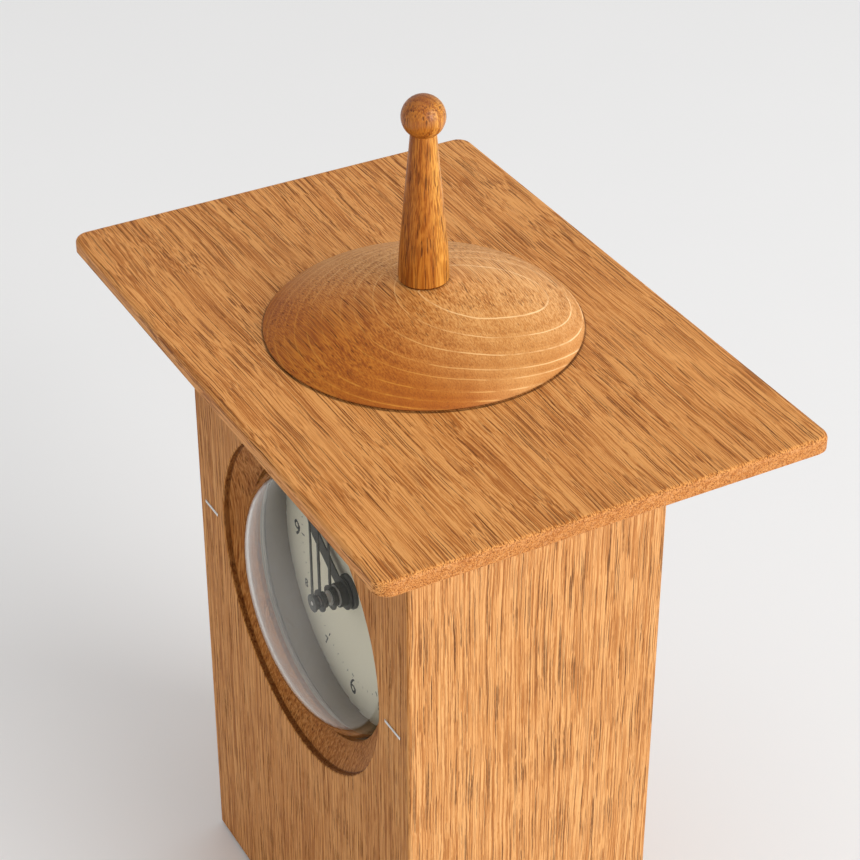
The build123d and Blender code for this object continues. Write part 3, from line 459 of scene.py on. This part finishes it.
def winding(name):
    """Enamelled copper wire wound side by side round the bobbin."""
    t = Tree(name)
    x, y, z = t.sep(t.coords())
    g = t.noise(t.comb(x, y, z), scale=1.1, detail=2.0)
    s = t.math("SINE", t.add(t.mul(x, 2.0 * math.pi / 0.32), t.mul(g, 1.2)))
    t.set("Base Color", t.mix(t.add(0.5, t.mul(s, 0.5)), (0.16, 0.045, 0.016), (0.66, 0.25, 0.10)))
    t.set("Metallic", 0.85)
    t.set("Roughness", t.add(0.30, t.mul(g, 0.12)))
    t.bump(s, 0.00008, 0.8)
    return t.mat


def board_mat(name):
    """Circuit board lacquer with tracks under it."""
    t = Tree(name)
    p = t.coords()
    x, y, z = t.sep(p)
    bx = t.math("FRACT", t.mul(x, 0.42))
    bz = t.math("FRACT", t.mul(z, 0.31))
    tr = t.math("MAXIMUM", t.mul(t.step(bx, 0.40, 0.44), t.step(bx, 0.60, 0.64, 1.0, 0.0)),
                t.mul(t.step(bz, 0.42, 0.46), t.step(bz, 0.58, 0.62, 1.0, 0.0)))
    g = t.noise(p, scale=0.8, detail=3.0)
    t.set("Base Color", t.mix(t.mul(tr, 0.7), t.mix(g, (0.008, 0.07, 0.026), (0.016, 0.11, 0.044)), (0.05, 0.24, 0.09)))
    t.set("Roughness", t.add(0.32, t.mul(g, 0.14)))
    t.bump(tr, 0.00003, 0.6)
    return t.mat


def ink(name, colour):
    t = Tree(name)
    g = t.noise(t.coords(), scale=2.4, detail=3.0)
    t.set("Base Color", t.mix(g, tuple(c * 0.75 for c in colour), tuple(c * 1.3 for c in colour)))
    t.set("Roughness", t.add(0.5, t.mul(g, 0.15)))
    return t.mat


# ---------------------------------------------------------------- materials on the carried-over nodes
X, Y, Z = 0, 1, 2
# the roof's dark ring round the dome's base is a painted shadow
roof_oak = oak("oak_roof_board", (X, Y, Z), 1.0, (96.0, 40.0), ring=3.0, fibre=2.2, fibre_f=4.4, fibre_len=60.0, band=0.45, rings=0.35,
               pore_gap=0.38, pore_len=48.0, pore_p=(0.60, 0.16), pore_w=(0.23, 0.16), bead_lo=0.80, streak=0.25, streak_f=4.0, spec=0.18,
               base=0.30, ink=1.0, fine_k=1.20, jit=0.05, tint=(1.09, 0.99, 0.83), joint=(FIN_X, 0.0, 34.33))
right_oak = oak("oak_right_side", (Z, Y, X), 2.3, (-140.0, 20.0), ring=1.7, fibre=2.0, fibre_f=3.8, band=0.05, rings=0.20, pore=0.90,
                pore_gap=0.36, pore_len=22.0, fibre_len=34.0, wave=1.2, wob=0.8, streak=0.45, streak_f=3.6, ink=0.7, bead_lo=0.8,
                pore_p=(0.44, 0.30), tint=(1.01, 1.02, 1.05))
left_oak = oak("oak_left_side", (Z, Y, X), 3.9, (130.0, -20.0), ring=1.9, fibre=2.2, fibre_f=3.5, band=0.25, rings=0.35, pore=0.85,
               pore_gap=0.40, pore_len=12.0, fibre_len=30.0, wave=1.3, wob=1.0, streak=0.6, streak_f=2.8)
front_oak = oak("oak_front_panel", (Z, X, Y), 5.2, (-150.0, 10.0), ring=2.0, fibre=1.5, fibre_f=2.4, band=0.25, rings=0.30, pore=0.75,
                pore_gap=0.56, pore_len=12.0, fibre_len=30.0, wave=1.2, wob=0.9, streak=0.55, streak_f=1.9, spec=0.10, recess=True,
                tint=(0.97, 0.93, 0.86))
back_oak = oak("oak_back_panel", (Z, X, Y), 6.7, (150.0, 0.0), ring=2.2, fibre=2.0, fibre_f=3.3, band=0.3, rings=0.4, pore=0.85,
               pore_gap=0.42, pore_len=12.0, fibre_len=30.0, wave=1.6, wob=0.9, streak=0.55, streak_f=2.8)
# the dome's direction tints are painted shade towards its front and a painted sheen towards its back; its lowest 0.75
# mm is darkened as painted contact shade
dome_oak = oak("oak_dome", (X, Y, Z), 7.4, (0.0, 36.0), ring=1.12, tilt=(0.128, 0.105), fibre=2.0, fibre_f=4.4, fibre_len=44.0,
               band=0.45, rings=0.20, pore=0.85, pore_gap=0.52, pore_len=28.0, pore_p=(0.62, 0.20), pore_w=(0.19, 0.11), wave=0.15,
               wob=0.12, uneven=0.5, streak=0.30, streak_f=4.0, jit=0.03, line=0.90, end=(0.05, 0.50, 0.22), blots=0.0, calm=0.75, spec=0.22, base=0.36,
               tint=(1.10, 1.10, 1.01), ink=0.7, painted_foot_shade=(168.9, 0.75),
               painted_light_by_facing=((-0.02, 0.36, (0.69, 0.45, 0.13), 0.22, -0.92), (-0.02, 0.30, (1.14, 1.20, 1.38), -0.30, 0.95)))
# the post's direction tint is painted shade on the side away from the lamp; its lowest 0.7 mm is darkened as painted
# contact shade
post_oak = oak("oak_finial_post", (Z, X, Y), 8.8, (30.0, 24.0), ring=1.7, fibre=1.9, fibre_f=4.2, fibre_len=26.0, band=0.5, rings=0.4,
               pore=0.90, pore_gap=0.44, pore_len=14.0, wave=0.6, wob=0.5, streak=0.5, streak_f=3.2, jit=0.04, rough=0.36, spec=0.22,
               tint=(1.03, 0.95, 0.48), painted_light_by_facing=((-0.80, -0.15, (0.70, 0.54, 0.38), -0.48, -0.88),), painted_foot_shade=(180.24, 0.7))
# the ball's direction tint is painted shade on the side away from the lamp
ball_oak = oak("oak_finial_ball", (Z, X, Y), 9.5, (22.0, -26.0), ring=1.5, fibre=1.9, fibre_f=4.2, fibre_len=16.0, band=0.5, rings=0.7,
               pore=0.90, pore_gap=0.44, pore_len=9.0, wave=0.5, wob=0.5, streak=0.5, streak_f=3.2, jit=0.04, rough=0.30, spec=0.34,
               tint=(1.03, 0.93, 0.48), painted_light_by_facing=((-0.75, -0.05, (0.66, 0.50, 0.36), -0.48, -0.88),))
inner_oak = oak("oak_inner", (X, Y, Z), 11.1, (70.0, 60.0), ring=2.9)
block_oak = oak("oak_blocks", (Z, X, Y), 12.3, (80.0, -40.0), ring=2.9)
dowel_oak = oak("oak_dowel", (Z, X, Y), 13.7, (30.0, 20.0), ring=2.0)

silver = metal("silver_bezel", (0.60, 0.57, 0.50), 0.34, (0.5, 6.0, 0.5), amount=0.12)
inlay_metal = metal("silver_inlay", (0.74, 0.73, 0.70), 0.26, (0.3, 3.0, 6.0), amount=0.12)
steel = metal("steel_plain", (0.60, 0.60, 0.60), 0.30, (1.0, 4.0, 1.0), amount=0.14)
spring_steel = metal("contact_nickel", (0.72, 0.70, 0.66), 0.26, (1.0, 1.0, 5.0), amount=0.14)
magnet = metal("magnet_ferrite", (0.10, 0.10, 0.105), 0.46, (1.0, 1.0, 1.0), amount=0.10)
can_metal = metal("stator_steel", (0.40, 0.40, 0.40), 0.36, (3.0, 1.0, 1.0), amount=0.14)
ring_light = ring_paint("ring_light_paint", (0.20, 0.16, 0.10), (0.15, 0.12, 0.07), 7.2, 8.0, 0.42)
ring_grey = ring_paint("ring_grey_paint", (0.235, 0.188, 0.108), (0.190, 0.152, 0.085), 8.2, 12.5, 0.46)
gasket_pale = plastic("gasket_grey", (0.20, 0.17, 0.12), 0.55, grain=2.2, depth=0.00001, vary=0.05, spec=0.25)
can_black = plastic("can_black_paint", (0.030, 0.030, 0.031), 0.50)
hand_grey = plastic("hand_grey_paint", (0.055, 0.058, 0.050), 0.52, grain=2.0, depth=0.00001, vary=0.12)
nut_grey = plastic("nut_grey_paint", (0.060, 0.063, 0.054), 0.46, grain=2.0, depth=0.00001, vary=0.12)
move_black = plastic("movement_black_abs", (0.022, 0.022, 0.023), 0.44, grain=3.4, depth=0.00004)
knob_black = plastic("knob_black_abs", (0.018, 0.018, 0.019), 0.38, grain=3.0, depth=0.00003)
gear_white = plastic("gear_white_pom", (0.72, 0.72, 0.68), 0.42, grain=2.2, depth=0.00001, vary=0.05)
buzz_black = plastic("buzzer_black", (0.020, 0.020, 0.021), 0.50, grain=2.6)
rubber = plastic("rubber_dark", (0.026, 0.026, 0.025), 0.72, grain=2.2, depth=0.00003, spec=0.25)
felt_mat = felt("felt_brown", (0.105, 0.066, 0.040))
glass_mat = glass("lens_glass")
dial_mat = dial_paint("dial_grey_green")
cell_mat = cell_wrap("cell_sleeve")
coil_mat = winding("coil_copper")
pcb_mat = board_mat("board_lacquer")
ink_mat = ink("dial_ink", (0.016, 0.017, 0.013))

LOOKS = {
    "roof_board": roof_oak, "right_side": right_oak, "left_side": left_oak, "front_panel": front_oak, "back_panel": back_oak,
    "dome": dome_oak, "finial_post": post_oak, "finial_ball": ball_oak, "bottom_board": inner_oak, "corner_blocks": block_oak,
    "finial_dowel": dowel_oak, "ball_pin": steel, "inlay_bars": inlay_metal, "felt_pads": felt_mat, "bezel_ring": silver,
    "lens": glass_mat, "lens_gasket": gasket_pale, "insert_gasket": rubber, "movement_washer": rubber, "upper_ring": ring_light,
    "lower_ring": ring_grey, "housing_can": can_black, "dial_plate": dial_mat, "hub_nut": nut_grey, "second_hand": hand_grey,
    "minute_hand": hand_grey, "alarm_hand": hand_grey, "hour_hand": hand_grey, "movement_case": move_black,
    "movement_back": move_black, "movement_screws": steel, "second_wheel": gear_white, "minute_arbor": gear_white,
    "hour_wheel": gear_white, "alarm_wheel": gear_white, "minute_wheel": gear_white, "time_knob": knob_black,
    "alarm_pinion": gear_white, "alarm_knob": knob_black, "third_wheel": gear_white, "rotor": magnet, "stator": can_metal,
    "coil": coil_mat, "circuit_board": pcb_mat, "crystal": steel, "buzzer": buzz_black, "battery": cell_mat,
    "contact_pos": spring_steel, "contact_neg": spring_steel, "alarm_switch": knob_black,
}
for node_name, node_obj in nodes.items():
    look = LOOKS[node_name]
    if not node_obj.material_slots:
        node_obj.data.materials.append(look)
    for s in node_obj.material_slots:
        s.material = look
nodes["lens"].visible_shadow = False


# ---------------------------------------------------------------- dial print
def new_object(name, mesh, material):
    o = bpy.data.objects.new(name, mesh)
    bpy.context.scene.collection.objects.link(o)
    mesh.materials.clear()
    mesh.materials.append(material)
    return o


def dial_place(x, z, q):
    """Millimetres on the dial, from the clock axis, at depth q behind the front."""
    return (x * MM, (YF + q) * MM, (ZC + z) * MM)


def add_text(bm, body, size, cx, cz):
    cu = bpy.data.curves.new("figure_" + body, "FONT")
    cu.body = body
    cu.size = size * MM
    cu.align_x, cu.align_y = "CENTER", "CENTER"
    cu.extrude = 0.02 * MM
    cu.offset = 0.04 * MM
    cu.resolution_u = 4
    tmp = bpy.data.objects.new("figure_tmp", cu)
    bpy.context.scene.collection.objects.link(tmp)
    bpy.context.view_layer.update()
    me = bpy.data.meshes.new_from_object(tmp.evaluated_get(bpy.context.evaluated_depsgraph_get()))
    xs = [v.co.x for v in me.vertices]
    ys = [v.co.y for v in me.vertices]
    mx, my = (min(xs) + max(xs)) / 2, (min(ys) + max(ys)) / 2
    px, py, pz = dial_place(cx, cz, Q_DIAL)
    turn = Matrix(((1, 0, 0, px - mx), (0, 0, -1, py), (0, 1, 0, pz - my), (0, 0, 0, 1)))
    me.transform(turn)
    bm.from_mesh(me)
    bpy.data.objects.remove(tmp)
    bpy.data.curves.remove(cu)
    bpy.data.meshes.remove(me)


def add_bar(bm, ang, r0, r1, w0, w1, q0, q1):
    """A flat tapered mark along a radius; ang is clockwise from twelve."""
    c, s = math.cos(ang), math.sin(ang)
    pts = []
    for q in (q0, q1):
        for r, h in ((r0, -w0 / 2), (r0, w0 / 2), (r1, w1 / 2), (r1, -w1 / 2)):
            pts.append(bm.verts.new(dial_place(r * s + h * c, r * c - h * s, q)))
    a, b = pts[:4], pts[4:]
    for f in ([a[0], a[1], a[2], a[3]], [b[3], b[2], b[1], b[0]], *[[a[(i + 1) % 4], a[i], b[i], b[(i + 1) % 4]] for i in range(4)]):
        bm.faces.new(f)


bm = bmesh.new()
for h in range(1, 13):
    ang = math.radians(30.0 * h)
    add_text(bm, str(h), 6.2 if h % 3 == 0 else 3.2, 27.3 * math.sin(ang), 27.3 * math.cos(ang))
numerals = bpy.data.meshes.new("dial_numerals")
bm.to_mesh(numerals)
bm.free()
numerals_o = new_object("dial_numerals", numerals, ink_mat)
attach(numerals_o, "case")

bm = bmesh.new()
for k in range(60):
    ang = math.radians(6.0 * k)
    if k % 5 == 0:
        add_bar(bm, ang, 23.6, 24.9, 0.34, 0.34, Q_DIAL - 0.02, Q_DIAL + 0.01)
    else:
        add_bar(bm, ang, 24.5, 24.9, 0.16, 0.16, Q_DIAL - 0.02, Q_DIAL + 0.01)
ticks = bpy.data.meshes.new("dial_ticks")
bm.to_mesh(ticks)
bm.free()
ticks_o = new_object("dial_ticks", ticks, ink_mat)
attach(ticks_o, "case")


# ---------------------------------------------------------------- stage, light, camera
bm = bmesh.new()
bmesh.ops.create_grid(bm, x_segments=8, y_segments=8, size=5.0)
floor_me = bpy.data.meshes.new("floor")
bm.to_mesh(floor_me)
bm.free()
t = Tree("floor_paper")
g = t.noise(t.coords(), scale=0.02, detail=3.0)
t.set("Base Color", t.mix(g, (0.868, 0.865, 0.862), (0.880, 0.877, 0.874)))
t.set("Roughness", 0.8)
t.set("Specular IOR Level", 0.15)
floor = new_object("floor", floor_me, t.mat)

scene = bpy.context.scene
scene.view_settings.view_transform = "Standard"
scene.view_settings.look = "None"
world = bpy.data.worlds.new("studio")
scene.world = world
world.use_nodes = True
bg = world.node_tree.nodes["Background"]
bg.inputs["Color"].default_value = (1.0, 1.0, 1.0, 1.0)
bg.inputs["Strength"].default_value = 0.62


def area(name, direction, dist, size, power, colour=(1.0, 1.0, 1.0), aim=(0.0, 0.0, 0.12)):
    la = bpy.data.lights.new(name, "AREA")
    la.shape = "RECTANGLE"
    la.size, la.size_y = size
    la.energy = power
    la.color = colour
    o = bpy.data.objects.new(name, la)
    scene.collection.objects.link(o)
    d = Vector(direction).normalized()
    o.location = Vector(aim) + d * dist
    o.rotation_euler = d.to_track_quat("Z", "Y").to_euler()
    return o


area("key_right", (0.87, 0.36, 0.36), 2.0, (1.5, 1.5), 39.0)
area("overhead", (0.05, 0.1, 1.0), 2.2, (2.4, 2.4), 6.0)

cam_data = bpy.data.cameras.new("camera")
cam_data.sensor_width = 36.0
cam_data.lens = 101.352
cam_data.clip_start = 0.01
cam = bpy.data.objects.new("camera", cam_data)
scene.collection.objects.link(cam)
r, u, b = (0.481050, 0.876693, 0.0), (-0.486403, 0.266894, 0.831973), (0.729385, -0.400221, 0.554815)
c = (0.386314, -0.211391, 0.436509)
cam.matrix_world = Matrix(((r[0], u[0], b[0], c[0]), (r[1], u[1], b[1], c[1]), (r[2], u[2], b[2], c[2]), (0, 0, 0, 1)))
scene.camera = cam
